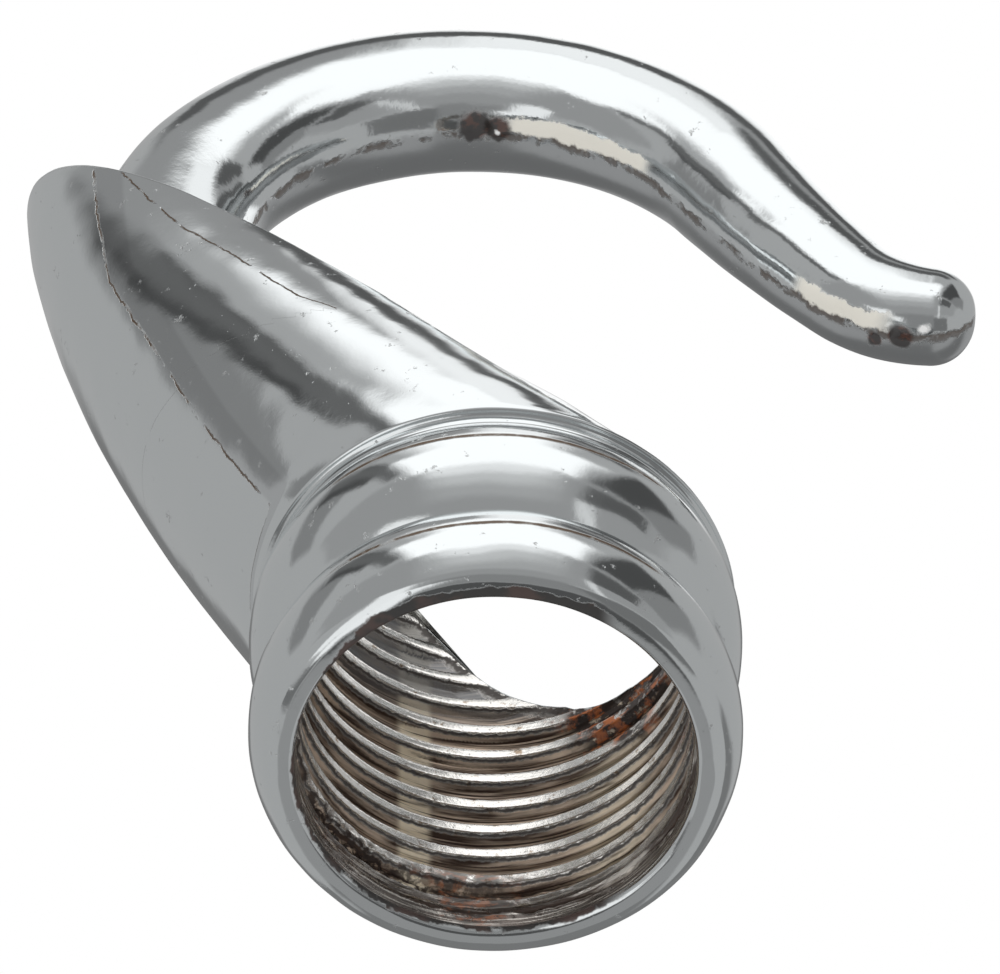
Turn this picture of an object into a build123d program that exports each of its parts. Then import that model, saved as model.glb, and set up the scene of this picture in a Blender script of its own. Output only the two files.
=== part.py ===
from build123d import *
import math
import os

os.makedirs("parts", exist_ok=True)

# A one-piece cast hanging hook: a threaded socket with two rounded beads, a leaning
# horn cut off on a slant, and a round arm that curls over the socket to an open end.
# Millimetres. The origin is the middle of the socket's mouth, +Z is the socket's axis
# toward the arm, +X is the way the arm's free end points, and XZ is the mirror plane.

# driving sizes of the socket
bore_radius = 9.315
groove_wall = 0.7
bead_round = 4.7
first_bead_height = 2.92
bead_spacing = 7.15
neck_rise = 3.0

# driving sizes of the horn
ledge_gap = 0.2
horn_foot_wall = 2.02
horn_crown_radius = 4.17
horn_lean = 18.06
horn_rise = 38.0
horn_taper_power = 1.16
horn_lean_power = 1.505
rim_reach = 4.33
rim_above_ledge = 3.1
slant_angle = 48.7
slant_blend = 4.0
rim_round = 0.6

# driving sizes of the arm
curl_radius = 14.36
curl_height = 41.74
curl_end_angle = 29.2
easing_radius = 79.0
easing_heading = -53.1
tip_bend_radius = 5.75
tip_heading = -7.2
tip_straight = 2.1
arm_root_radius = 3.77
arm_curl_taper = 0.57
arm_tail_taper = 0.85
tip_flat_radius = 0.5
leg_inset = 2.29
leg_sink = 1.7
leg_foot_step_in = 0.5
leg_round = 0.8

# sizes that follow from them
half_spacing = bead_spacing / 2
groove_radius = bore_radius + groove_wall
groove_height = first_bead_height + half_spacing
bead_center_radius = groove_radius - math.sqrt(bead_round**2 - half_spacing**2)
bead_radius = bead_center_radius + bead_round
second_bead_height = first_bead_height + bead_spacing
lip_radius = bead_center_radius + math.sqrt(bead_round**2 - first_bead_height**2)
neck_radius = bead_center_radius + math.sqrt(bead_round**2 - neck_rise**2)
neck_height = second_bead_height + neck_rise
ledge_height = neck_height + ledge_gap
rim_height = ledge_height + rim_above_ledge
horn_foot_radius = bore_radius + horn_foot_wall
slant_slope = math.tan(math.radians(slant_angle))
lip_point = (lip_radius, 0)
groove_point = (groove_radius, groove_height)
neck_point = (neck_radius, neck_height)
leg_x = leg_inset - horn_lean
leg_foot_height = rim_height + (rim_reach - leg_x - arm_root_radius) * slant_slope - leg_sink
leg_foot_radius = arm_root_radius - leg_foot_step_in
arm_curl_end_radius = arm_root_radius - arm_curl_taper
arm_tip_radius = arm_curl_end_radius - arm_tail_taper
tip_round = arm_tip_radius - tip_flat_radius


def horn_radius(share):
    return horn_foot_radius - (horn_foot_radius - horn_crown_radius) * share**horn_taper_power


def horn_center(share):
    return -horn_lean * (1 - (1 - share) ** horn_lean_power)


def walked(start, heading, turn, radius):
    sign = math.copysign(1, turn)
    middle_x = start[0] - sign * radius * math.sin(heading)
    middle_z = start[1] + sign * radius * math.cos(heading)
    end_x = middle_x + sign * radius * math.sin(heading + turn)
    end_z = middle_z - sign * radius * math.cos(heading + turn)
    return (end_x, end_z), heading + turn


def arm_place(point, heading, radius):
    return (point[0], 0, point[1]), (math.cos(heading), 0, math.sin(heading)), radius


# the arm's places: leg foot, curl, easing bend and upturned tip
curl_start = (leg_x, curl_height)
curl_turn = math.radians(curl_end_angle - 180)
curl_steps = 5
leg_foot = (leg_x + leg_foot_step_in, leg_foot_height)
arm_places = [arm_place(leg_foot, math.pi / 2, leg_foot_radius)]
arm_places.append(arm_place(curl_start, math.pi / 2, arm_root_radius))
point, heading = curl_start, math.pi / 2
for step in range(curl_steps):
    point, heading = walked(point, heading, curl_turn / curl_steps, curl_radius)
    radius = arm_root_radius + (arm_curl_end_radius - arm_root_radius) * (step + 1) / curl_steps
    arm_places.append(arm_place(point, heading, radius))
easing_turn = math.radians(easing_heading) - heading
tip_turn = math.radians(tip_heading - easing_heading)
easing_length = easing_turn * easing_radius
tip_length = tip_turn * tip_bend_radius
tail_steps = 3
for step in range(tail_steps):
    point, heading = walked(point, heading, easing_turn / tail_steps, easing_radius)
    walked_length = easing_length * (step + 1) / tail_steps
    radius = arm_curl_end_radius - (arm_curl_end_radius - arm_tip_radius) * (
        walked_length / (easing_length + tip_length)
    )
    arm_places.append(arm_place(point, heading, radius))
for step in range(tail_steps):
    point, heading = walked(point, heading, tip_turn / tail_steps, tip_bend_radius)
    walked_length = easing_length + tip_length * (step + 1) / tail_steps
    radius = arm_curl_end_radius - (arm_curl_end_radius - arm_tip_radius) * (
        walked_length / (easing_length + tip_length)
    )
    arm_places.append(arm_place(point, heading, radius))
point = (point[0] + tip_straight * math.cos(heading), point[1] + tip_straight * math.sin(heading))
arm_places.append(arm_place(point, heading, arm_tip_radius))

# the socket is turned about its own axis
with BuildPart() as hook:
    with BuildSketch(Plane.XZ):
        with BuildLine():
            Line((0, 0), lip_point)
            ThreePointArc(lip_point, (bead_radius, first_bead_height), groove_point)
            ThreePointArc(groove_point, (bead_radius, second_bead_height), neck_point)
            Line(neck_point, (neck_radius, ledge_height))
            Line((neck_radius, ledge_height), (0, ledge_height))
            Line((0, ledge_height), (0, 0))
        make_face()
    revolve(axis=Axis.Z)
    # the horn leans back as it rises and narrows
    horn_steps = 7
    for step in range(horn_steps):
        share = step / (horn_steps - 1)
        with BuildSketch(Plane.XY.offset(ledge_height + horn_rise * share)):
            with Locations((horn_center(share), 0)):
                Circle(horn_radius(share))
    loft()
    # the slanted cut leaves a level rim on the open side
    slant_run = horn_rise + horn_lean
    cut_top = rim_height + slant_run * slant_slope
    with BuildSketch(Plane.XZ) as hook_cut:
        with BuildLine():
            Polyline(
                (rim_reach, rim_height),
                (rim_reach + slant_run, rim_height),
                (rim_reach + slant_run, cut_top),
                (rim_reach - slant_run, cut_top),
                close=True,
            )
        make_face()
        slant_corner = hook_cut.vertices().sort_by_distance((rim_reach, 0, rim_height))[0]
        fillet(slant_corner, slant_blend)
    extrude(amount=slant_run, both=True, mode=Mode.SUBTRACT)
    # the edge of the slant and of the level rim is rounded over
    raised_faces = hook.faces().filter_by(lambda face: face.center().Z > rim_height - 1)
    cut_faces = raised_faces.filter_by(lambda face: face.normal_at().Z > 0.5)
    rim_edges = cut_faces.edges().filter_by(lambda edge: edge.geom_type != GeomType.LINE)
    fillet(rim_edges, rim_round)
    # the bore runs straight up and comes out through the slant
    bore_exit_height = rim_height + (rim_reach + bore_radius) * slant_slope
    bore_length = bore_exit_height + 3
    with Locations((0, 0, bore_length / 2)):
        Cylinder(bore_radius, bore_length, mode=Mode.SUBTRACT)
    # the arm's leg rises out of the slant and curls over to the free end
    for place in arm_places:
        with BuildSketch(Plane(place[0], x_dir=(0, 1, 0), z_dir=place[1])):
            Circle(place[2])
    loft()
    # a fillet joins the arm's leg to the slant where the leg stands clear of its edge
    flat_faces = hook.faces().filter_by(GeomType.PLANE)
    slant_faces = flat_faces.filter_by(lambda face: 0.3 < face.normal_at().Z < 0.95)
    slant_face = slant_faces.sort_by(SortBy.AREA)[-1]
    if slant_face.inner_wires():
        leg_edges = slant_face.inner_wires().sort_by(Axis.Z)[-1].edges()
        fillet(leg_edges, leg_round)
    tip_edge = hook.edges().sort_by(Axis.X)[-1]
    fillet(tip_edge, tip_round)
hook.part.label = "hook"
export_step(hook.part, "parts/hook.step")
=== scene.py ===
import math

import bpy
import numpy as np
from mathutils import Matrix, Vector


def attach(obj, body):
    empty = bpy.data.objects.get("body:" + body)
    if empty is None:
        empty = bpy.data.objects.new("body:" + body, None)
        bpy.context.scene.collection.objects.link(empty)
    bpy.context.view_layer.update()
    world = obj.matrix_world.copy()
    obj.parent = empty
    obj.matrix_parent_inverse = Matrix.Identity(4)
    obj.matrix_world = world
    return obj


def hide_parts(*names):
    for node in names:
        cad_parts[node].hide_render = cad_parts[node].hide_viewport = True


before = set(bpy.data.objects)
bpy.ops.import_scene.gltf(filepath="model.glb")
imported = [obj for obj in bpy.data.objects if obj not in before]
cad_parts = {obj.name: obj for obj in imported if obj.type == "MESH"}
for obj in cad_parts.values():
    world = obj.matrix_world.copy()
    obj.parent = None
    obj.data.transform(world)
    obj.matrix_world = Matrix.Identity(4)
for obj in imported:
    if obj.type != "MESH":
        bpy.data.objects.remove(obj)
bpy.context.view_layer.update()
print("frame loaded:", sorted(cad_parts))

mm = 0.001
columns = 384  # steps round the socket and the horn

# the socket's turned outside, in millimetres
socket = {
    "boreRadius": 9.315,
    "beadCentre": 6.964,
    "beadRound": 4.7,
    "firstBead": 2.92,
    "beadSpacing": 7.15,
    "foldGap": 0.012,
    "neckRise": 3.0,
    "ledgeGap": 0.2,
    "lipRound": 0.38,
    "lipFlatEnd": 10.05,
    "lipBlendAngle": -30.0,
    "bandRadius": 11.02,
    "bandLow": 12.56,
    "bandHigh": 13.08,
    # heights of two painted dark reflection lines on the near half of the beads
    "paintedReflectionLines": (3.33, 10.66),
}
# the leaning horn and the slanted cut through it; its casting line and its crack are given as
# shares of the rise with degrees round the horn
horn = {
    "footWall": 2.02,
    "footRound": 0.16,
    "crownRadius": 4.17,
    "lean": 18.06,
    "rise": 38.0,
    "taperPower": 1.16,
    "leanPower": 1.505,
    "rimReach": 4.33,
    "rimAboveLedge": 3.1,
    "slantAngle": 48.7,
    "slantBlend": 4.0,
    "rimRound": 0.62,
    "thinnestWall": 0.05,
    "ridge": ((0.0, 207), (0.19, 210.9), (0.384, 217), (0.532, 219.2), (0.744, 236.8), (0.9, 250)),
    "ridgeFrom": 0.0,
    "crack": ((0.276, 269), (0.326, 262.6), (0.465, 259), (0.55, 253.8), (0.709, 250.1), (0.9, 247)),
    "crackFrom": 0.28,
}
# the thread inside the socket; rust is a place and a reach in metres, and an amount
thread = {
    "pitch": 2.07,
    "firstCrest": 4.09,
    "depth": 0.46,
    "crestShare": 0.155,
    "rootShare": 0.27,
    "rootRise": 0.10,
    "leadInRadius": 9.47,
    "leadInEnd": 0.9,
    "fullFrom": 2.7,
    "fadeFrom": 23.5,
    "fadeTo": 26.5,
    "smallestRadius": 9.2,
    "startDamage": 0.16,
    "startHeight": 3.0,
    "startTurn": 2.35,
    "rust": (((0.0061, 0.0070, 0.0157), 0.0042, 1.0), ((-0.0014, 0.0093, 0.0028), 0.0030, 0.6)),
}
# the arm: a leg, a curl, an easing bend and an upturned tip; a spot is a place, a size and how ragged it
# is, a painted glint a place and a size, in metres
arm = {
    "around": 144,
    "along": 470,
    "tipRows": 40,
    "legInset": 2.29,
    "legFoot": 33.0,
    "curlHeight": 41.74,
    "curlRadius": 14.36,
    "curlEndAngle": 29.2,
    "easingRadius": 79.0,
    "easingHeading": -53.1,
    "tipBendRadius": 5.75,
    "tipHeading": -7.2,
    "tipStraight": 2.1,
    "rootRadius": 3.77,
    "curlTaper": 0.57,
    "tailTaper": 0.85,
    "tipFlat": 0.2,
    "legFillet": 0.8,
    "spots": (
        ((-0.0010, -0.0008, 0.05275), 0.0010, 0.0010),
        ((0.0001, -0.0007, 0.05270), 0.0008, 0.0008),
        ((0.0193, -0.0003, 0.0355), 0.0008, 0.0006),
        ((0.0181, 0.0001, 0.0359), 0.0005, 0.0005),
    ),
    "paintedGlints": (((0.0204, -0.0008, 0.0354), 0.0004), ((0.0001, -0.0005, 0.05262), 0.0002)),
}
# how uneven the cast skin is, in millimetres
skin = {"seed": 7, "swell": 0.035, "swellLength": 7.0, "ripple": 0.010, "rippleLength": 2.2}

ledgeHeight = socket["firstBead"] + socket["beadSpacing"] + socket["neckRise"] + socket["ledgeGap"]
rimHeight = ledgeHeight + horn["rimAboveLedge"]
hornFoot = socket["boreRadius"] + horn["footWall"]
slantAngle = math.radians(horn["slantAngle"])
slantSlope = math.tan(slantAngle)
legX = arm["legInset"] - horn["lean"]


# a smooth step: 0 below low, 1 above high, 3t^2 - 2t^3 between
def eased(value, low, high):
    t = np.clip((value - low) / (high - low), 0, 1)
    return t * t * (3 - 2 * t)


# a curve from first to last that leans toward corner: first(1-t)^2 + corner 2t(1-t) + last t^2
def blended(first, corner, last, t):
    return first * (1 - t) ** 2 + corner * 2 * t * (1 - t) + last * t**2


# soft unevenness: the mean of sixteen sine waves in random directions, each about one length long
def unevenness(points, length, seed):
    draw = np.random.default_rng(seed)
    heading = draw.normal(size=(16, 3))
    heading /= np.linalg.norm(heading, axis=1)[:, None]
    stretch = draw.uniform(0.6, 1.6, 16)
    shift = draw.uniform(0, 2 * math.pi, 16)
    waves = points @ (heading * (stretch * 2 * math.pi / length)[:, None]).T + shift
    return np.sin(waves).mean(axis=-1) * 2.2


# unit normals of a grid that closes on itself sideways: the cross product of its two directions
def gridNormals(points):
    sideways = np.roll(points, -1, axis=1) - np.roll(points, 1, axis=1)
    along = np.gradient(points, axis=0)
    normal = np.cross(sideways, along)
    return normal / np.maximum(np.linalg.norm(normal, axis=2), 1e-9)[:, :, None]


# moves a grid of points along its normals by the skin's two waves, less where hold is nearer 0
def roughened(points, hold):
    swell = skin["swell"] * unevenness(points, skin["swellLength"], skin["seed"])
    ripple = skin["ripple"] * unevenness(points, skin["rippleLength"], skin["seed"] + 1)
    return points + gridNormals(points) * ((swell + ripple) * hold)[:, :, None]


# a mesh from a grid of rows by columns in millimetres; each row closes on itself, and a cap
# puts one more point in the middle of the first or last row
def gridPiece(name, points, masks, caps=(False, False)):
    rows, around = points.shape[:2]
    spots = points.reshape(-1, 3)
    row, column = np.meshgrid(np.arange(rows - 1), np.arange(around), indexing="ij")
    after = (column + 1) % around
    corners = [row * around + column, row * around + after]
    corners += [(row + 1) * around + after, (row + 1) * around + column]
    quads = np.stack(corners, axis=-1).reshape(-1, 4)
    step, following = np.arange(around), (np.arange(around) + 1) % around
    fans = []
    maskValues = {key: value.reshape(-1) for key, value in masks.items()}
    for end, wanted in enumerate(caps):
        if not wanted:
            continue
        ring = points[-end]
        base = (rows - 1) * around * end
        pole = np.full(around, len(spots))
        spots = np.vstack([spots, ring.mean(axis=0)])
        maskValues = {
            key: np.append(value, value[base : base + around].mean())
            for key, value in maskValues.items()
        }
        pair = (base + following, base + step) if end == 0 else (base + step, base + following)
        fans.append(np.stack([pair[0], pair[1], pole], axis=-1))
    faces = quads.tolist() + [face for fan in fans for face in fan.tolist()]
    mesh = bpy.data.meshes.new(name)
    mesh.from_pydata((spots * mm).tolist(), [], faces)
    for key, value in maskValues.items():
        layer = mesh.attributes.new(key, "FLOAT", "POINT")
        layer.data.foreach_set("value", value.astype(np.float32))
    mesh.polygons.foreach_set("use_smooth", np.ones(len(faces), dtype=bool))
    mesh.update()
    piece = bpy.data.objects.new(name, mesh)
    bpy.context.scene.collection.objects.link(piece)
    return piece


# the horn's circles: radius and centre at a share of its rise
def hornRadius(share):
    return hornFoot - (hornFoot - horn["crownRadius"]) * share ** horn["taperPower"]


def hornCentre(share):
    return -horn["lean"] * (1 - (1 - share) ** horn["leanPower"])


def hornPoint(angle, share):
    x = hornCentre(share) + hornRadius(share) * np.cos(angle)
    y = hornRadius(share) * np.sin(angle)
    return np.stack(np.broadcast_arrays(x, y, ledgeHeight + horn["rise"] * share), axis=-1)


# height of the cut over x: level, an arc, then the slant
def cutHeight(x):
    reach = horn["slantBlend"] * math.tan(slantAngle / 2)
    arcEnd = horn["rimReach"] - reach * math.cos(slantAngle)
    middle = horn["rimReach"] + reach
    slant = rimHeight + (horn["rimReach"] - x) * slantSlope
    under = np.maximum(horn["slantBlend"] ** 2 - (x - middle) ** 2, 0)
    arc = rimHeight + horn["slantBlend"] - np.sqrt(under)
    return np.where(x > middle, rimHeight, np.where(x < arcEnd, slant, arc))


# share of the rise reached by the last of many steps up before solid turns false
def lastSolid(solid):
    return (np.cumprod(solid, axis=0).sum(axis=0) - 1) / (len(solid) - 1)


shareSteps = np.linspace(0, 1, 2001)[:, None]


# share of the rise at which each angle's line up the horn passes the cut or runs into the bore
def endShare(angle):
    place = hornPoint(angle[None], shareSteps)
    solid = place[..., 2] <= cutHeight(place[..., 0])
    solid &= np.hypot(place[..., 0], place[..., 1]) >= socket["boreRadius"] + horn["thinnestWall"]
    return lastSolid(solid)


# height at which the bore's wall passes the cut or runs out of the horn's side at each angle
def wallEnd(angle):
    x, y = socket["boreRadius"] * np.cos(angle), socket["boreRadius"] * np.sin(angle)
    solid = ledgeHeight + horn["rise"] * shareSteps <= cutHeight(x)[None]
    offCentre = np.hypot(x - hornCentre(shareSteps), y)
    solid &= offCentre <= hornRadius(shareSteps) - horn["thinnestWall"]
    return ledgeHeight + horn["rise"] * lastSolid(solid)


# radius of the bore's wall: crest radius plus depth times the thread's form at its phase, where
# the phase is height over pitch plus the turned share of a circle; it starts worn and fades out
def boreWall(angle, height):
    phase = (height - thread["firstCrest"]) / thread["pitch"] + (angle - math.pi / 2) / (2 * math.pi)
    wobble = 0.02 * np.sin(3 * angle + height) + 0.012 * np.sin(11 * angle + 2 * height)
    off = np.abs((phase + wobble + 0.5) % 1 - 0.5)  # 0 on a crest, a half in mid groove
    form = eased(off, thread["crestShare"], thread["rootShare"])
    form = form - thread["rootRise"] * np.exp(-(((off - 0.5) / 0.05) ** 2))
    spot = np.stack([9.3 * np.cos(angle), 9.3 * np.sin(angle), height], axis=-1)
    rough = unevenness(spot, 1.3, 21) + 0.6 * unevenness(spot, 0.55, 22)
    start = eased(height + 0.35 * rough, thread["leadInEnd"], thread["fullFrom"])
    end = 1 - eased(height, thread["fadeFrom"], thread["fadeTo"])
    share = np.clip((height - ledgeHeight) / horn["rise"], 0, 1)
    offCentre = np.hypot(spot[..., 0] - hornCentre(share), spot[..., 1])
    end = end * np.clip((hornRadius(share) - offCentre) / (2 * thread["depth"]), 0, 1)
    threaded = socket["boreRadius"] + thread["depth"] * form * end
    radius = thread["leadInRadius"] * (1 - start) + threaded * start
    turned = 0.35 + np.exp(-(((angle - thread["startTurn"]) / 0.6) ** 2))
    worn = np.exp(-(((height - thread["startHeight"]) / 0.9) ** 2)) * turned
    radius = radius + thread["startDamage"] * rough * worn
    return np.maximum(radius, thread["smallestRadius"]), form * start * end, worn


# the socket's outline as radius and height, from the lip's inner edge up to the horn's foot: a
# quarter circle, a curve into the first bead, the two beads' arcs, the bright band and the ledge
def socketOutline():
    bead, curve = socket["beadCentre"], socket["beadRound"]
    lip = np.linspace(math.pi, 1.5 * math.pi, 9)
    lipRadius = thread["leadInRadius"] + socket["lipRound"] + socket["lipRound"] * np.cos(lip)
    outline = [np.stack([lipRadius, socket["lipRound"] * (1 + np.sin(lip))], -1)]
    blendAngle = math.radians(socket["lipBlendAngle"])
    blendRadius = bead + curve * math.cos(blendAngle)
    blendHeight = socket["firstBead"] + curve * math.sin(blendAngle)
    flatEnd = np.array([socket["lipFlatEnd"], 0])
    corner = np.array([blendRadius + blendHeight * math.tan(blendAngle), 0])
    t = np.linspace(0.08, 1, 12)[:, None]
    outline.append(blended(flatEnd, corner, np.array([blendRadius, blendHeight]), t))
    fold = math.asin(socket["beadSpacing"] / 2 / curve) - socket["foldGap"]
    toBand = math.acos((socket["bandRadius"] - bead) / curve)
    for rise, first, last in ((0, blendAngle + 0.03, fold), (socket["beadSpacing"], -fold, toBand)):
        swing = np.linspace(first, last, 44)
        height = socket["firstBead"] + rise + curve * np.sin(swing)
        outline.append(np.stack([bead + curve * np.cos(swing), height], -1))
    band, low, high = socket["bandRadius"], socket["bandLow"], socket["bandHigh"]
    bandLine = [[band - 0.09, low - 0.02], [band - 0.02, low + 0.03], [band, low + 0.1]]
    bandLine += [[band + 0.01, high - 0.06], [band - 0.02, high], [band - 0.12, high + 0.06]]
    bandLine += [[band - 0.1, ledgeHeight - 0.04]]
    outline.append(np.array(bandLine))
    foot = np.linspace(0, math.pi / 2, 6)
    footRadius = hornFoot - horn["footRound"] * (1 - np.sin(foot))
    outline.append(np.stack([footRadius, ledgeHeight + horn["footRound"] * (1 - np.cos(foot))], -1))
    return np.vstack(outline)


# the horn's side up each angle's line, its rim rounded over at the cut, and the slanted face from
# the rim straight in to the bore's wall, raised by the fillet round the arm's leg
def hornSkin(angle):
    share = endShare(angle)
    corner = hornPoint(angle, share)
    polar = np.arctan2(corner[:, 1], corner[:, 0])
    exitSpot = np.stack([np.cos(polar), np.sin(polar)], -1) * socket["boreRadius"]
    wall = np.hypot(corner[:, 0], corner[:, 1]) - socket["boreRadius"]
    edgeRound = np.minimum(horn["rimRound"], wall * 0.5)
    footShare, lastShare = horn["footRound"] / horn["rise"], share - edgeRound / horn["rise"]
    rise = np.linspace(0, 1, 66)[1:, None] ** 0.9
    side = hornPoint(angle[None], footShare + (lastShare - footShare)[None] * rise)
    inward = exitSpot - corner[:, :2]
    inward = inward / np.linalg.norm(inward, axis=1)[:, None]
    faceStart = corner[:, :2] + inward * edgeRound[:, None]
    startHeight = np.minimum(cutHeight(faceStart[:, :1]), corner[:, 2:])
    faceStart = np.concatenate([faceStart, startHeight], axis=1)
    rim = blended(side[-1][None], corner[None], faceStart[None], np.linspace(0, 1, 10)[1:, None, None])
    exitHeight = np.minimum(cutHeight(exitSpot[:, 0]), corner[:, 2])
    wallEdge = exitSpot / socket["boreRadius"] * boreWall(polar, exitHeight)[0][:, None]
    t = (np.linspace(0, 1, 44)[1:] ** 0.9)[:, None, None]
    plan = faceStart[None, :, :2] * (1 - t) + wallEdge[None] * t
    fromLeg = np.hypot(plan[..., 0] - legX, plan[..., 1])
    inFillet = np.clip((arm["rootRadius"] + arm["legFillet"] - fromLeg) / arm["legFillet"], 0, 1)
    height = np.minimum(cutHeight(plan[..., 0]) + arm["legFillet"] * inFillet**2, corner[None, :, 2])
    face = np.concatenate([plan, height[..., None]], axis=2)
    face[-1, :, 2] -= 0.05
    return side, rim, face


# distances in millimetres from the outside's marks, 3 at most: round the horn from its casting line and its
# crack, and up or down from the painted dark reflection lines on the near half of the beads
def outsideMasks(points, angle, footRow, rimRow):
    row = np.arange(len(points))[:, None]
    share = (points[..., 2] - ledgeHeight) / horn["rise"]
    across = hornRadius(np.clip(share, 0, 1))
    masks = {}
    for name, line, lowest in (
        ("fromRidge", horn["ridge"], horn["ridgeFrom"]),
        ("fromCrack", horn["crack"], horn["crackFrom"]),
    ):
        shares, degrees = np.array(line).T
        away = (angle[None] - np.interp(share, shares, np.radians(degrees))) * across
        marked = (row >= footRow) & (row < rimRow) & (share > lowest)
        masks[name] = np.where(marked, np.clip(away, -3, 3), 3.0)
    # painted dark reflection lines, kept to the near half of the beads
    paintedLineGap = np.min([np.abs(points[..., 2] - height) for height in socket["paintedReflectionLines"]], axis=0)
    facing = eased(-points[..., 1] / np.hypot(points[..., 0], points[..., 1]), 0.35, 0.8)
    masks["fromPaintedLine"] = np.where(row < footRow, np.minimum(paintedLineGap + 1.5 * (1 - facing), 3), 3.0)
    return masks


# the outside: lip, two beads and neck turned about the axis, then the horn up to the cut, its
# rounded rim and the slanted face down to the bore
def outsidePiece():
    angle = np.arange(columns) * 2 * math.pi / columns
    outline = socketOutline()
    turned = outline[:, None, :1] * np.stack([np.cos(angle), np.sin(angle)], -1)[None]
    turned = np.concatenate([turned, np.repeat(outline[:, None, 1:], columns, 1)], axis=2)
    side, rim, face = hornSkin(angle)
    points = np.vstack([turned, side, rim, face])
    masks = outsideMasks(points, angle, len(turned), len(turned) + len(side))
    hold = np.ones(points.shape[:2])
    hold[:9] = np.linspace(0, 1, 9)[:, None]
    hold[-6:] = np.linspace(1, 0, 6)[:, None]
    points = roughened(points, hold)
    points[..., 2] = np.maximum(points[..., 2], 0)
    return gridPiece("hookOutside", points, masks)


# the bore: a grid over angle and height whose radius is the wall's, from the slant down to the lip
def borePiece():
    angle = np.arange(columns) * 2 * math.pi / columns
    top = wallEnd(angle) - 0.05
    down = np.linspace(0, 1, 255)[:, None]
    height = top[None] + (socket["lipRound"] - top[None]) * down
    radius, form, worn = boreWall(np.broadcast_to(angle, height.shape), height)
    points = np.stack([radius * np.cos(angle), radius * np.sin(angle), height], axis=-1)
    return gridPiece("hookBore", points, {"inGroove": form, "wornStart": worn})


# the arm: circles carried along a path whose heading is stepwise linear in its length, with a
# rounded tip; the seam is on the inside of the curl
def armPiece():
    around, along, tipRows = arm["around"], arm["along"], arm["tipRows"]
    curlTurn = math.radians(180 - arm["curlEndAngle"])
    curlHeading = math.pi / 2 - curlTurn
    easeTurn = math.radians(arm["easingHeading"]) - curlHeading
    tipTurn = math.radians(arm["tipHeading"] - arm["easingHeading"])
    lengths = [arm["curlHeight"] - arm["legFoot"], curlTurn * arm["curlRadius"]]
    lengths += [easeTurn * arm["easingRadius"], tipTurn * arm["tipBendRadius"], arm["tipStraight"]]
    marks = np.concatenate([[0], np.cumsum(lengths)])
    headings = [math.pi / 2, math.pi / 2, curlHeading, curlHeading + easeTurn]
    headings += [curlHeading + easeTurn + tipTurn] * 2
    fine = np.linspace(0, marks[-1], 12001)
    fineHeading = np.interp(fine, marks, headings)
    steps = np.stack([np.cos(fineHeading), np.sin(fineHeading)], -1)
    strides = (steps[1:] + steps[:-1]) / 2 * np.diff(fine)[:, None]
    walked = np.vstack([[0, 0], np.cumsum(strides, axis=0)]) + np.array([legX, arm["legFoot"]])
    curlEnd = arm["rootRadius"] - arm["curlTaper"]
    tipRadius = curlEnd - arm["tailTaper"]
    tipRound = tipRadius - arm["tipFlat"]
    swing = np.linspace(0, math.pi / 2, tipRows)
    straight = np.linspace(0, marks[-1] - tipRound, along - tipRows, endpoint=False)
    place = np.concatenate([straight, marks[-1] - tipRound + tipRound * np.sin(swing)])
    thickPlaces = [0, marks[1], marks[2], marks[4], marks[5]]
    thick = np.interp(place, thickPlaces, [arm["rootRadius"]] * 2 + [curlEnd, tipRadius, tipRadius])
    thick[-tipRows:] = arm["tipFlat"] + tipRound * np.cos(swing)
    heading = np.interp(place, marks, headings)
    middle = np.stack([np.interp(place, fine, walked[:, k]) for k in (0, 1)], -1)
    ring = np.arange(around) * 2 * math.pi / around  # 0 is out of the curl, a quarter turn on is +Y
    outward = thick[:, None] * np.cos(ring)
    x = middle[:, :1] - outward * np.sin(heading)[:, None]
    z = middle[:, 1:] + outward * np.cos(heading)[:, None]
    points = np.stack([x, thick[:, None] * np.sin(ring), z], axis=-1)
    hold = np.ones((along, around))
    hold[-12:] = np.linspace(1, 0, 12)[:, None]
    masks = {"fromSeam": np.clip((ring[None] - math.pi) * thick[:, None], -6, 6)}
    masks["toTip"] = np.repeat((marks[-1] - place)[:, None], around, axis=1)
    points = roughened(points, hold)[:, ::-1]
    return gridPiece("hookArm", points, {key: value[:, ::-1] for key, value in masks.items()}, (True, True))


# shader helpers
def addNode(tree, kind, values=None, links=None, **settings):
    node = tree.nodes.new(kind)
    for key, value in settings.items():
        setattr(node, key, value)
    for key, value in (values or {}).items():
        node.inputs[key].default_value = value
    for key, source in (links or {}).items():
        tree.links.new(source, node.inputs[key])
    return node


# sets each input to a number or colour, or links it to another node's output
def fillInputs(tree, node, inputs):
    for key, value in inputs:
        if isinstance(value, (int, float, tuple)):
            node.inputs[key].default_value = value
        else:
            tree.links.new(value, node.inputs[key])


def mathNode(tree, operation, first, second=0.0, clamp=False):
    node = addNode(tree, "ShaderNodeMath", operation=operation, use_clamp=clamp)
    fillInputs(tree, node, ((0, first), (1, second)))
    return node.outputs[0]


def plus(tree, first, second, clamp=False):
    return mathNode(tree, "ADD", first, second, clamp)


def minus(tree, first, second):
    return mathNode(tree, "SUBTRACT", first, second)


def times(tree, first, second, clamp=False):
    return mathNode(tree, "MULTIPLY", first, second, clamp)


def larger(tree, first, second):
    return mathNode(tree, "MAXIMUM", first, second)


# a noise's distance from its middle, times an amount
def swayed(tree, noise, amount):
    return times(tree, minus(tree, noise, 0.5), amount)


def stepped(tree, value, low, high, fromValue=0.0, toValue=1.0):
    edges = {1: low, 2: high, 3: fromValue, 4: toValue}
    node = addNode(tree, "ShaderNodeMapRange", edges, {0: value}, interpolation_type="SMOOTHSTEP")
    return node.outputs[0]


# 1 where a value lies between low and high, with soft edges
def inRange(tree, value, low, high, soft):
    rising = stepped(tree, value, low - soft / 2, low + soft / 2)
    return times(tree, rising, stepped(tree, value, high + soft / 2, high - soft / 2))


def objectPlace(tree):
    return tree.nodes.new("ShaderNodeTexCoord").outputs["Object"]


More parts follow.
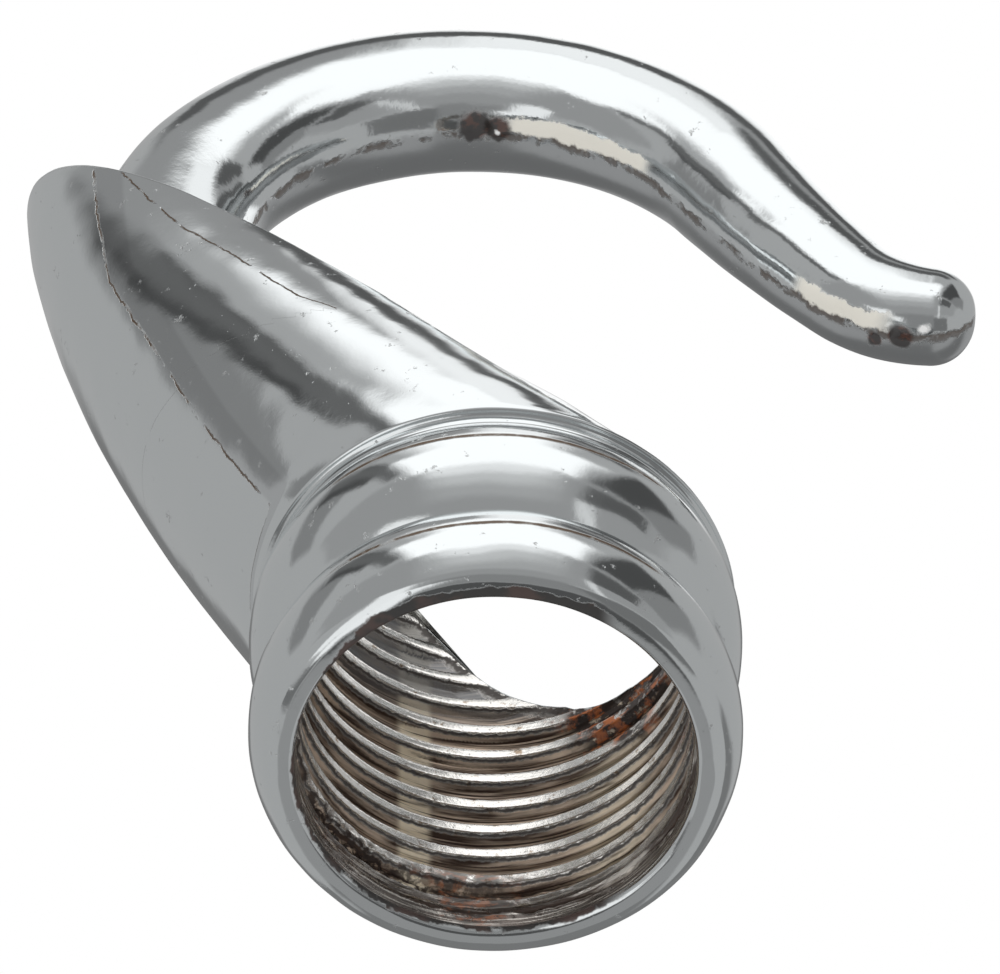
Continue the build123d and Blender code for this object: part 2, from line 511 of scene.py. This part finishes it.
def distanceTo(tree, where, spot):
    node = addNode(tree, "ShaderNodeVectorMath", {1: spot}, {0: where}, operation="DISTANCE")
    return node.outputs["Value"]


def attributeValue(tree, name):
    return addNode(tree, "ShaderNodeAttribute", attribute_name=name).outputs["Fac"]


# noise over object coordinates with waves about one size long, in millimetres
def noiseValue(tree, coordinates, size, detail=3.0, roughness=0.55):
    values = {"Scale": 1 / (size * mm), "Detail": detail, "Roughness": roughness}
    return addNode(tree, "ShaderNodeTexNoise", values, {"Vector": coordinates}).outputs["Fac"]


def mixedColour(tree, share, first, second):
    node = addNode(tree, "ShaderNodeMix", data_type="RGBA")
    fillInputs(tree, node, ((0, share), (6, first), (7, second)))
    return node.outputs[2]


def newMaterial(name):
    material = bpy.data.materials.new(name)
    material.use_nodes = True
    tree = material.node_tree
    return material, tree, tree.nodes["Principled BSDF"]


# the cast skin under the plating: a height of soft waves, orange peel and small pits
def castSkinGroup():
    group = bpy.data.node_groups.new("castSkin", "ShaderNodeTree")
    for name in ("Waves", "Peel", "Pits"):
        entry = group.interface.new_socket(name=name, in_out="INPUT", socket_type="NodeSocketFloat")
        entry.default_value = 1.0
    for name in ("Height", "Pitted", "Cloud"):
        group.interface.new_socket(name=name, in_out="OUTPUT", socket_type="NodeSocketFloat")
    given, out = group.nodes.new("NodeGroupInput"), group.nodes.new("NodeGroupOutput")
    where = objectPlace(group)
    waves = noiseValue(group, where, 4.0, 1.0)
    peel = noiseValue(group, where, 0.55, 3.0, 0.6)
    speck = noiseValue(group, where, 0.9, 5.0, 0.7)
    pitted = stepped(group, speck, 0.64, 0.72)
    height = times(group, waves, given.outputs["Waves"])
    height = plus(group, height, times(group, peel, given.outputs["Peel"]))
    height = minus(group, height, times(group, pitted, given.outputs["Pits"]))
    cloud = noiseValue(group, where, 9.0, 4.0, 0.6)
    group.links.new(height, out.inputs["Height"])
    group.links.new(pitted, out.inputs["Pitted"])
    group.links.new(cloud, out.inputs["Cloud"])
    return group


print("pieces")
outside = outsidePiece()
bore = borePiece()
armSolid = armPiece()
castSkin = castSkinGroup()

# the plating and the marks on it; a line is an attribute, where its middle lies, how far it
# sways, its half width, the two noise levels between which it shows, and its depth
chrome = {
    "colour": (0.825, 0.857, 0.865, 1),
    "stainAndPaintedShade": (0.10, 0.065, 0.04, 1),
    "roughness": 0.085,
    "pits": 0.12,
    "outsidePeel": 0.04,
    "armPeel": 0.07,
    "mouthBrowns": ((0.016, 0.012, 0.010, 1), (0.060, 0.028, 0.020, 1)),
    "paintedShadeStrip": (0.5, 0.51, 0.52, 1),
    "shadedUnderside": (0.42, 0.43, 0.44, 1),
    "paintedHighlightStrip": (0.94, 0.91, 0.82, 1),
    "spotBrowns": ((0.03, 0.022, 0.02, 1), (0.11, 0.045, 0.03, 1)),
    "paintedGlint": (0.95, 0.95, 0.94, 1),
    "outsideLines": (
        ("fromRidge", 0.0, 0.5, 0.09, 0.40, 0.52, 0.5),
        ("fromCrack", 0.0, 0.4, 0.07, 0.38, 0.48, 0.5),
        # a painted dark reflection line on the beads
        ("fromPaintedLine", 0.0, 0.16, 0.20, 0.28, 0.45, 0.1),
    ),
    "armLines": (("fromSeam", 0.35, 1.0, 0.26, 0.42, 0.52, 0.6),),
}
# the bore's colours; a pair is mixed by a noise
boreColours = {
    "crest": ((0.96, 0.94, 0.90, 1), (0.46, 0.36, 0.27, 1)),
    "flank": (0.030, 0.021, 0.017, 1),
    "groove": ((0.062, 0.036, 0.024, 1), (0.70, 0.56, 0.44, 1)),
    "paintedLight": (0.98, 0.87, 0.68, 1),
    "high": (0.30, 0.31, 0.32, 1),
    "mouth": ((0.075, 0.050, 0.038, 1), (0.66, 0.62, 0.57, 1)),
    "wornStart": (0.045, 0.030, 0.024, 1),
    "rust": ((0.030, 0.019, 0.015, 1), (0.46, 0.135, 0.035, 1)),
}


# a ragged line: 1 where the distance from the line, shifted by noise, is under its half width
def raggedLine(tree, distance, noise, sway, halfWidth):
    shifted = plus(tree, distance, swayed(tree, noise, sway))
    return stepped(tree, mathNode(tree, "ABSOLUTE", shifted), halfWidth, halfWidth * 0.35)


# chrome over the cast skin, stained in its pits and along its lines, the lines on the beads being painted
# dark reflections; marks lays this piece's own on top
def chromeMaterial(name, lines, marks, peel):
    material, tree, shader = newMaterial(name)
    where = objectPlace(tree)
    levels = {"Waves": 1.0, "Peel": peel, "Pits": chrome["pits"]}
    skinNode = addNode(tree, "ShaderNodeGroup", levels, node_tree=castSkin)
    ragged = noiseValue(tree, where, 0.8, 4.0, 0.6)
    patchy = noiseValue(tree, where, 1.6, 3.0, 0.6)
    stainAndShadeShare = times(tree, skinNode.outputs["Pitted"], 0.3)
    height = skinNode.outputs["Height"]
    # each line darkens with the stain colour; on the beads this is painted dark reflection
    for attribute, centre, sway, halfWidth, low, high, depth in lines:
        away = minus(tree, attributeValue(tree, attribute), centre)
        line = raggedLine(tree, away, ragged, sway, halfWidth)
        line = times(tree, line, stepped(tree, patchy, low, high))
        stainAndShadeShare = larger(tree, stainAndShadeShare, line)
        height = minus(tree, height, times(tree, line, depth))
    smooth, dull = chrome["roughness"] * 0.8, chrome["roughness"] * 1.5
    rough = stepped(tree, skinNode.outputs["Cloud"], 0.35, 0.7, smooth, dull)
    look = {"colour": mixedColour(tree, stainAndShadeShare, chrome["colour"], chrome["stainAndPaintedShade"])}
    look["rough"] = plus(tree, rough, times(tree, stainAndShadeShare, 0.35))
    look["metal"] = minus(tree, 1.0, times(tree, stainAndShadeShare, 0.6))
    marks(tree, where, ragged, look)
    bump = addNode(tree, "ShaderNodeBump", {"Strength": 1.0, "Distance": 0.00012}, {"Height": height})
    tree.links.new(look["colour"], shader.inputs["Base Color"])
    tree.links.new(look["rough"], shader.inputs["Roughness"])
    tree.links.new(look["metal"], shader.inputs["Metallic"])
    tree.links.new(bump.outputs[0], shader.inputs["Normal"])
    return material


# lays one mark over a look: its colour, roughness and how metallic it is, where its share is 1
def laidOver(tree, look, share, colour, rough, metal):
    look["colour"] = mixedColour(tree, share, look["colour"], colour)
    for key, value in (("rough", rough), ("metal", metal)):
        change = times(tree, minus(tree, value, look[key]), share)
        look[key] = plus(tree, look[key], change)


# the brown rim of the mouth, wider on the near side, and the duller strip beside the horn's ridge, darkened
# with painted shade
def outsideMarks(tree, where, ragged, look):
    place = addNode(tree, "ShaderNodeSeparateXYZ", links={0: where})
    flat = addNode(tree, "ShaderNodeCombineXYZ", links={0: place.outputs[0], 1: place.outputs[1]})
    reach = addNode(tree, "ShaderNodeVectorMath", links={0: flat.outputs[0]}, operation="LENGTH")
    near = stepped(tree, place.outputs[1], -0.0045, -0.0090, 0.00966, 0.01030)
    edge = plus(tree, near, swayed(tree, noiseValue(tree, where, 1.3, 3.0, 0.65), 0.0008))
    inside = minus(tree, edge, reach.outputs["Value"])
    low = stepped(tree, place.outputs[2], 0.0014, 0.001)
    rim = times(tree, stepped(tree, inside, 0.0, 0.00012), low)
    rim = times(tree, rim, stepped(tree, place.outputs[0], 0.0066, 0.0048))
    patch = stepped(tree, noiseValue(tree, where, 2.6, 3.0, 0.6), 0.48, 0.62)
    brown = mixedColour(tree, patch, *chrome["mouthBrowns"])
    laidOver(tree, look, times(tree, rim, 0.95), brown, 0.42, 0.25)
    # painted shade: a darker strip of plating on one side of the ridge
    paintedShadeBesideRidge = inRange(tree, attributeValue(tree, "fromRidge"), 0.05, 1.5, 0.3)
    laidOver(tree, look, times(tree, paintedShadeBesideRidge, 0.35), chrome["paintedShadeStrip"], 0.16, 1.0)


# the arm's duller underside, darkened with painted shade, painted cream highlight strips along its seam,
# its brown spots and two painted glints
def armMarks(tree, where, ragged, look):
    toTip = attributeValue(tree, "toTip")
    # painted shade: one side of the seam on the arm's underside is darkened
    shifted = plus(tree, attributeValue(tree, "fromSeam"), minus(tree, ragged, 0.5))
    under = times(tree, stepped(tree, shifted, 0.7, 0.2), stepped(tree, shifted, -5.4, -4.2))
    laidOver(tree, look, times(tree, under, 0.5), chrome["shadedUnderside"], 0.4, 1.0)
    # painted highlight: cream strips beside the seam near the curl and near the tip
    highlightStrip = inRange(tree, toTip, 20.0, 30.0, 1.2)
    highlightStrip = plus(tree, highlightStrip, inRange(tree, toTip, 3.5, 7.6, 1.0), True)
    highlightStrip = times(tree, highlightStrip, inRange(tree, shifted, 0.5, 1.35, 0.16))
    laidOver(tree, look, highlightStrip, chrome["paintedHighlightStrip"], 0.4, 0.0)
    for spot, size, sway in arm["spots"]:
        away = plus(tree, distanceTo(tree, where, spot), swayed(tree, ragged, sway))
        dark = stepped(tree, away, size, size * 0.6)
        brown = mixedColour(tree, stepped(tree, ragged, 0.5, 0.58), *chrome["spotBrowns"])
        laidOver(tree, look, times(tree, dark, 0.9), brown, 0.3, 0.4)
    # painted highlights: two small white glints
    for spot, size in arm["paintedGlints"]:
        away = plus(tree, distanceTo(tree, where, spot), swayed(tree, ragged, 0.0007))
        laidOver(tree, look, stepped(tree, away, size, size * 0.4), chrome["paintedGlint"], 0.3, 0.0)


# the bore: bright worn crests edged with dark lines, streaked brown grooves, painted pale light in the
# grooves where light falls straight in, and mottled rust by the exit and at the mouth
def boreMaterial():
    material, tree, shader = newMaterial("threadedBore")
    where = objectPlace(tree)
    place = addNode(tree, "ShaderNodeSeparateXYZ", links={0: where})
    across, depthIn, height = place.outputs
    worn = attributeValue(tree, "wornStart")
    grain = noiseValue(tree, where, 0.7, 5.0, 0.65)
    fine = noiseValue(tree, where, 0.32, 3.0, 0.6)
    patch = noiseValue(tree, where, 3.5, 4.0, 0.6)
    # streaks run along the thread: one coordinate climbs with it, the other turns round the bore
    turn = mathNode(tree, "ARCTAN2", across, depthIn)
    climb = times(tree, turn, thread["pitch"] * mm / (2 * math.pi))
    along = times(tree, minus(tree, height, climb), 1 / (0.16 * mm))
    track = addNode(tree, "ShaderNodeCombineXYZ", links={0: along, 1: times(tree, turn, 2.2)})
    streaks = {"Scale": 1.0, "Detail": 3.0}
    streak = addNode(tree, "ShaderNodeTexNoise", streaks, {"Vector": track.outputs[0]}).outputs["Fac"]
    # crest, dark flank and brown groove
    edged = plus(tree, attributeValue(tree, "inGroove"), swayed(tree, fine, 0.5))
    deep = stepped(tree, edged, 0.30, 0.55)
    flank = times(tree, stepped(tree, edged, 0.05, 0.16), minus(tree, 1.0, deep))
    crest = mixedColour(tree, stepped(tree, grain, 0.58, 0.7), *boreColours["crest"])
    groove = mixedColour(tree, stepped(tree, streak, 0.38, 0.66), *boreColours["groove"])
    # painted light: pale columns in the grooves at two places across the bore
    farPaintedLight = times(tree, inRange(tree, across, 0.0042, 0.0072, 0.002), 0.55)
    paintedLight = plus(tree, inRange(tree, across, -0.0046, -0.0031, 0.0004), farPaintedLight)
    paintedLight = times(tree, paintedLight, stepped(tree, streak, 0.32, 0.5))
    groove = mixedColour(tree, paintedLight, groove, boreColours["paintedLight"])
    high = times(tree, stepped(tree, height, 0.0165, 0.0195), 0.8)
    groove = mixedColour(tree, high, groove, boreColours["high"])
    colour = mixedColour(tree, deep, crest, groove)
    colour = mixedColour(tree, times(tree, flank, 0.92), colour, boreColours["flank"])
    # the mouth and the worn first turn
    mouth = stepped(tree, height, 0.0030, 0.0016)
    mouthColour = mixedColour(tree, stepped(tree, streak, 0.5, 0.62), *boreColours["mouth"])
    colour = mixedColour(tree, times(tree, mouth, 0.9), colour, mouthColour)
    wornDark = times(tree, worn, stepped(tree, grain, 0.42, 0.55), True)
    colour = mixedColour(tree, wornDark, colour, boreColours["wornStart"])
    covered = larger(tree, times(tree, deep, 0.4), times(tree, flank, 0.6))
    covered = larger(tree, covered, times(tree, wornDark, 0.5))
    covered = larger(tree, covered, times(tree, times(tree, paintedLight, deep), 0.75))
    # rust, mottled along the thread
    rustTrack = {0: times(tree, along, 0.22), 1: times(tree, turn, 7.0)}
    track = addNode(tree, "ShaderNodeCombineXYZ", links=rustTrack)
    mottles = {"Scale": 1.0, "Detail": 5.0, "Roughness": 0.65}
    rusty = addNode(tree, "ShaderNodeTexNoise", mottles, {"Vector": track.outputs[0]}).outputs["Fac"]
    for spot, size, amount in thread["rust"]:
        away = plus(tree, distanceTo(tree, where, spot), swayed(tree, patch, 0.006))
        crust = times(tree, stepped(tree, away, size, size * 0.55), stepped(tree, grain, 0.36, 0.48))
        crust = times(tree, crust, amount)
        mottle = mixedColour(tree, stepped(tree, rusty, 0.50, 0.60), *boreColours["rust"])
        colour = mixedColour(tree, crust, colour, mottle)
        covered = larger(tree, covered, times(tree, crust, 0.9))
    relief = plus(tree, times(tree, grain, 0.5), times(tree, covered, 0.3))
    relief = plus(tree, relief, times(tree, streak, times(tree, deep, 0.4)))
    bump = addNode(tree, "ShaderNodeBump", {"Strength": 1.0, "Distance": 0.00007}, {"Height": relief})
    tree.links.new(colour, shader.inputs["Base Color"])
    tree.links.new(minus(tree, 1.0, covered), shader.inputs["Metallic"])
    tree.links.new(stepped(tree, covered, 0.0, 0.6, 0.15, 0.42), shader.inputs["Roughness"])
    tree.links.new(bump.outputs[0], shader.inputs["Normal"])
    return material


print("materials")
for piece, name, lines, marks, peel in (
    (outside, "chromeOutside", chrome["outsideLines"], outsideMarks, chrome["outsidePeel"]),
    (armSolid, "chromeArm", chrome["armLines"], armMarks, chrome["armPeel"]),
):
    piece.data.materials.append(chromeMaterial(name, lines, marks, peel))
bore.data.materials.append(boreMaterial())
for piece in (outside, bore, armSolid):
    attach(piece, "root")
    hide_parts("hook")

# the studio: a pale floor, a small light tent that only reflections see, and one soft lamp
studio = {
    "tentRadius": 83,
    "tentHalfLength": 330,
    "endFade": (190, 310),
    "endGlow": 0.40,
    "tentDirection": -55.6,
    "cameraDistance": 2100,
    "pixel": 0.04705,
    "frameWidth": 1000,
    "sensorWidth": 36,
    "aim": (0.212, 13.13),
    "floorHalf": 1.5,
    "floorHeight": -0.0002,
    "floorColours": ((0.86, 0.86, 0.86, 1), (0.83, 0.83, 0.83, 1)),
    "worldGlow": 0.95,
    "lampPlace": (-0.25, -0.45, 0.65),
    "lampAim": (0, 0, 0.02),
    "lampSize": 0.4,
    "lampWatts": 4.0,
}
tilt = math.radians(studio["tentDirection"])
towardCamera = np.array([0, -math.cos(tilt), math.sin(tilt)])
imageUp = np.array([0, math.sin(tilt), math.cos(tilt)])

# cards and cloths of the tent, laid over each other in this order: the angle round the tube from
# and to, the place along it from and to in millimetres, brightness, and the soft width of both edges
tentCards = [
    ("greyCloth", (-180, 180), (-400, 400), 0.40, (1, 1)),
    ("cameraSide", (14, 82), (-400, 400), 0.32, (8, 1)),
    ("warmUpLow", (40, 84), (-36, 34), 0.40, (12, 30)),
    ("warmUpMid", (56, 84), (-32, 30), 0.57, (12, 26)),
    ("warmUpHigh", (68, 84), (-32, 30), 0.86, (8, 20)),
    ("leftShade", (115, 142), (-300, -46), 0.23, (7, 12)),
    ("rightShade", (78, 136), (104, 400), 0.23, (6, 16)),
    ("leftFlag", (105, 137), (-75, -46), 0.07, (6, 8)),
    ("leftPole", (86, 137), (-63, -49), 0.13, (6, 8)),
    ("rightFlag", (79, 126), (56, 110), 0.07, (5, 10)),
    ("rightGlint", (4, 50), (54, 64), 0.72, (8, 5)),
    ("softBox", (77, 108), (-44, 46), 1.17, (6, 12)),
    ("boxTop", (98, 128), (-25, 22), 1.17, (7, 18)),
    ("boxEnd", (127, 140), (-50, 44), 0.30, (6, 12)),
    ("edgeLight", (126, 138), (-4, 15), 1.0, (2, 6)),
    ("boxLine", (126, 134), (17, 44), 0.10, (3, 6)),
    ("backWindow", (146, 163), (-16, 34), 1.05, (8, 10)),
    ("edgeLine", (138, 145), (-26, 44), 0.10, (1.5, 6)),
    ("tipShade", (50, 74), (58, 130), 0.10, (4, 12)),
    ("underArm", (170, 242), (-42, 38), 0.19, (8, 12)),
    ("underTip", (196, 242), (36, 300), 0.19, (8, 12)),
    ("tableShade", (-130, -88), (-30, 30), 0.20, (6, 10)),
    ("tableEdge", (-88, -61), (-34, 30), 0.29, (5, 12)),
    ("lensShade", (-62, -24), (-19, 34), 0.08, (7, 10)),
    ("lowGrey", (-24, 16), (-30, 36), 0.24, (10, 12)),
    ("rightLow", (-44, 8), (34, 130), 0.17, (8, 10)),
    ("leftLow", (-62, -50), (-120, -26), 0.16, (6, 8)),
    ("leftWindow", (-38, 26), (-84, -38), 0.92, (8, 12)),
    ("leftSill", (-50, 4), (-48, -22), 0.95, (8, 10)),
]


# 1 between low and high, easing to 0 over a soft width centred on each edge
def between(value, edges, soft):
    low = eased(value, edges[0] - soft / 2, edges[0] + soft / 2)
    return low * (1 - eased(value, edges[1] - soft / 2, edges[1] + soft / 2))


# the tent's glow over degrees round it and millimetres along it: each card laid over those before
# it, and one grey toward both ends
def tentGlow(degrees, along):
    glow = np.zeros(along.shape)
    for _, turnEdges, reachEdges, value, (softTurn, softReach) in tentCards:
        inTurn = sum(between(degrees + shift, turnEdges, softTurn) for shift in (-360, 0))
        if turnEdges[1] - turnEdges[0] >= 360:
            inTurn = np.ones_like(degrees)
        weight = np.clip(inTurn, 0, 1) * between(along, reachEdges, softReach)
        glow = glow * (1 - weight) + value * weight
    fade = eased(np.abs(along), *studio["endFade"])
    return glow * (1 - fade) + studio["endGlow"] * fade


# a tube along X round the object, closed at both ends, that only reflections see
def lightTent():
    turn = np.arange(360) * math.pi / 180
    ring = np.cos(turn)[:, None] * towardCamera + np.sin(turn)[:, None] * imageUp
    reach = np.linspace(-studio["tentHalfLength"], studio["tentHalfLength"], 207)
    body = ring[None] * studio["tentRadius"] + reach[:, None, None] * np.array([1, 0, 0])
    points = np.concatenate([body[:1] * [1, 0.02, 0.02], body, body[-1:] * [1, 0.02, 0.02]])
    glow = tentGlow(np.degrees(turn)[None], points[..., 0])
    tent = gridPiece("studioTent", points, {"glow": glow}, (True, True))
    tent.visible_camera = False
    tent.visible_shadow = False
    tent.visible_diffuse = False
    tent.visible_transmission = False
    material = bpy.data.materials.new("tentCloth")
    material.use_nodes = True
    tree = material.node_tree
    tree.nodes.clear()
    light = addNode(tree, "ShaderNodeEmission", links={"Strength": attributeValue(tree, "glow")})
    addNode(tree, "ShaderNodeOutputMaterial", links={0: light.outputs[0]})
    tent.data.materials.append(material)


# a flat sheet of pale paper under the mouth
def floorSheet():
    half, height = studio["floorHalf"], studio["floorHeight"]
    corners = [(x, y, height) for x, y in ((-half, -half), (half, -half), (half, half), (-half, half))]
    mesh = bpy.data.meshes.new("floorSheet")
    mesh.from_pydata(corners, [], [(0, 1, 2, 3)])
    floor = bpy.data.objects.new("floorSheet", mesh)
    bpy.context.scene.collection.objects.link(floor)
    floor.data.materials.append(floorMaterial())


# pale paper seen from above only, so that a camera under it still sees the mouth
def floorMaterial():
    material, tree, shader = newMaterial("floorPaper")
    grain = noiseValue(tree, objectPlace(tree), 12.0)
    shade = mixedColour(tree, stepped(tree, grain, 0.3, 0.7), *studio["floorColours"])
    tree.links.new(shade, shader.inputs["Base Color"])
    shader.inputs["Roughness"].default_value = 0.9
    shader.inputs["Specular IOR Level"].default_value = 0.1
    back = tree.nodes.new("ShaderNodeNewGeometry").outputs["Backfacing"]
    ray = tree.nodes.new("ShaderNodeLightPath")
    seen = times(tree, ray.outputs["Is Camera Ray"], minus(tree, 1.0, back))
    clear = tree.nodes.new("ShaderNodeBsdfTransparent")
    shades = {0: seen, 1: clear.outputs[0], 2: shader.outputs[0]}
    both = addNode(tree, "ShaderNodeMixShader", links=shades)
    tree.links.new(both.outputs[0], tree.nodes["Material Output"].inputs[0])
    return material


# plain light all round, and plain white where the camera or a reflection looks past the object
def studioWorld():
    world = bpy.data.worlds.new("studioWorld")
    world.use_nodes = True
    bpy.context.scene.world = world
    tree = world.node_tree
    shell = tree.nodes["Background"]
    shell.inputs[0].default_value = (0.9, 0.9, 0.9, 1)
    shell.inputs[1].default_value = studio["worldGlow"]
    white = addNode(tree, "ShaderNodeBackground", {0: (1, 1, 1, 1), 1: 1.0})
    ray = tree.nodes.new("ShaderNodeLightPath")
    seen = larger(tree, ray.outputs["Is Camera Ray"], ray.outputs["Is Glossy Ray"])
    seen = larger(tree, seen, ray.outputs["Is Transmission Ray"])
    both = addNode(tree, "ShaderNodeMixShader", links={0: seen, 1: shell.outputs[0], 2: white.outputs[0]})
    tree.links.new(both.outputs[0], tree.nodes["World Output"].inputs[0])


# puts a lamp or a camera at a place in metres, looking along a direction
def placed(name, data, place, direction):
    holder = bpy.data.objects.new(name, data)
    bpy.context.scene.collection.objects.link(holder)
    holder.location = place
    holder.rotation_mode = "QUATERNION"
    holder.rotation_quaternion = Vector(direction).to_track_quat("-Z", "Y")
    return holder


def softLamp():
    lamp = bpy.data.lights.new("softBox", "AREA")
    lamp.shape, lamp.size, lamp.energy = "SQUARE", studio["lampSize"], studio["lampWatts"]
    aim = np.array(studio["lampAim"]) - np.array(studio["lampPlace"])
    placed("softBox", lamp, studio["lampPlace"], aim).visible_glossy = False


def photoCamera():
    view = bpy.data.cameras.new("photoCamera")
    view.sensor_width = studio["sensorWidth"]
    fieldWidth = studio["frameWidth"] * studio["pixel"]
    view.lens = studio["sensorWidth"] * studio["cameraDistance"] / fieldWidth
    view.clip_start, view.clip_end = 0.05, 20
    aim = np.array([studio["aim"][0], 0, 0]) + imageUp * studio["aim"][1]
    place = (aim + towardCamera * studio["cameraDistance"]) * mm
    bpy.context.scene.camera = placed("photoCamera", view, place, -towardCamera)


print("studio")
floorSheet()
lightTent()
studioWorld()
softLamp()
photoCamera()
bpy.context.scene.view_settings.view_transform = "Standard"
